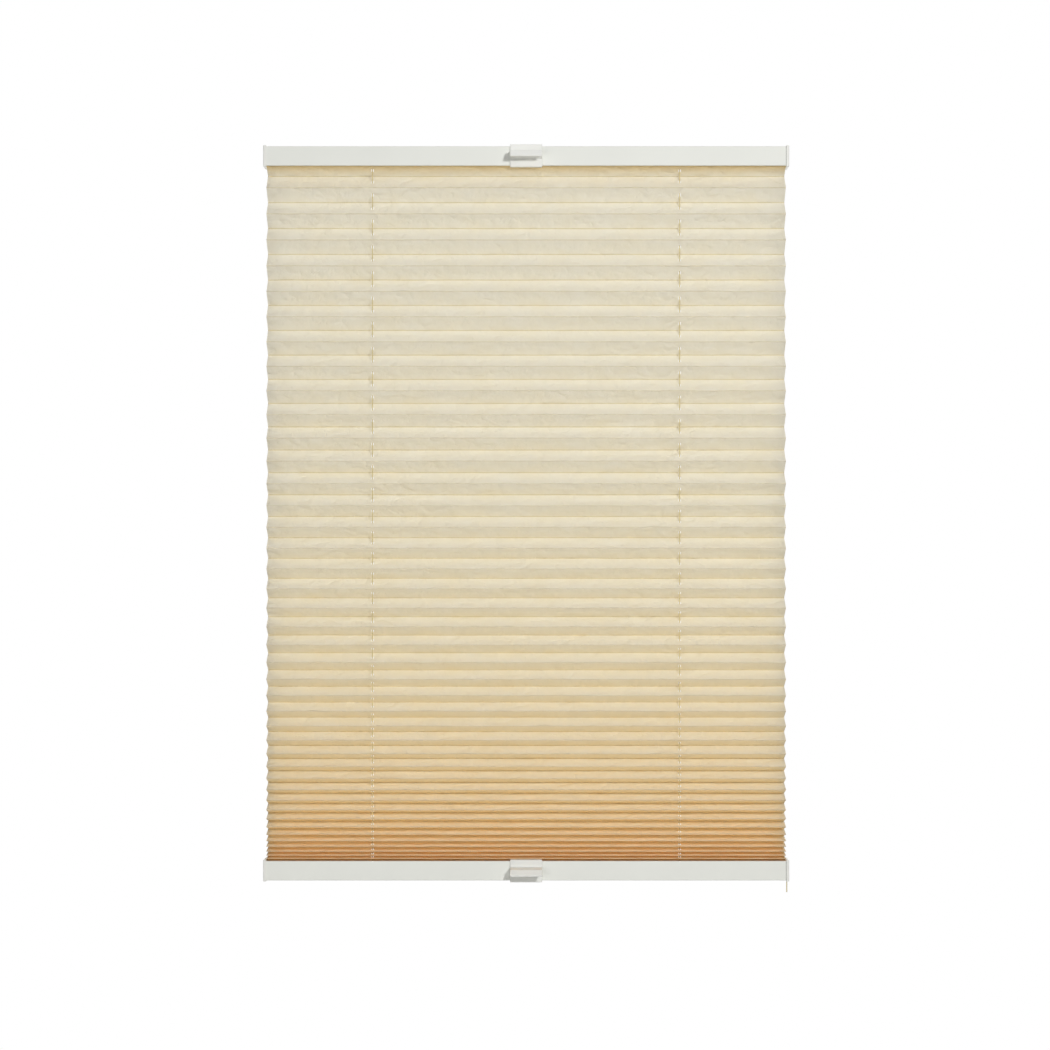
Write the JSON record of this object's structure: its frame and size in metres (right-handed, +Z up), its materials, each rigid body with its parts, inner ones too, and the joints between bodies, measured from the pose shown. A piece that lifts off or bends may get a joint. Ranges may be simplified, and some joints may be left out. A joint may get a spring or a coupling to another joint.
{
  "type": "pleated blind",
  "caption": "Tensioned pleated window blind: crinkled cream cloth between two white rails with clip-on handles; the bottom rail slides up its cords and gathers the pleats.",
  "frame": {"origin": "middle of the flat back of the top rail, halfway along it and halfway up it", "axes": "+Z up along the cords, +X to the right seen from the front, +Y out of the blind's back towards the window; the front faces -Y"},
  "size_m": [0.5, 0.0415, 0.712],
  "materials": {
    "rail_lacquer": "satin",
    "cap_plastic": "satin",
    "handle_plastic": "satin",
    "guide_plastic": "matte",
    "strip_plastic": "matte",
    "crush_fabric": "matte",
    "cord_polyester": "matte"
  },
  "bodies": {
    "top_assembly": {"top_rail": "rail_lacquer", "top_left_end_cap": "cap_plastic", "top_right_end_cap": "cap_plastic", "top_handle": "handle_plastic", "top_fabric_strip": "strip_plastic", "top_left_cord_guide": "guide_plastic", "top_right_cord_guide": "guide_plastic", "top_left_cord_run": "cord_polyester", "top_right_cord_run": "cord_polyester", "pleated_fabric": "crush_fabric", "left_drop_cord": "cord_polyester", "right_drop_cord": "cord_polyester"},
    "bottom_assembly": {"bottom_rail": "rail_lacquer", "bottom_left_end_cap": "cap_plastic", "bottom_right_end_cap": "cap_plastic", "bottom_handle": "handle_plastic", "bottom_fabric_strip": "strip_plastic", "bottom_left_cord_guide": "guide_plastic", "bottom_right_cord_guide": "guide_plastic", "bottom_left_cord_run": "cord_polyester", "bottom_right_cord_run": "cord_polyester"}
  },
  "joints": [
    {"name": "bottom_rail_slide", "type": "slide", "parent": "top_assembly", "child": "bottom_assembly", "axis": [0, 0, 1], "range_m": [0, 0.6], "deforming": ["pleated_fabric", "left_drop_cord", "right_drop_cord"]}
  ]
}
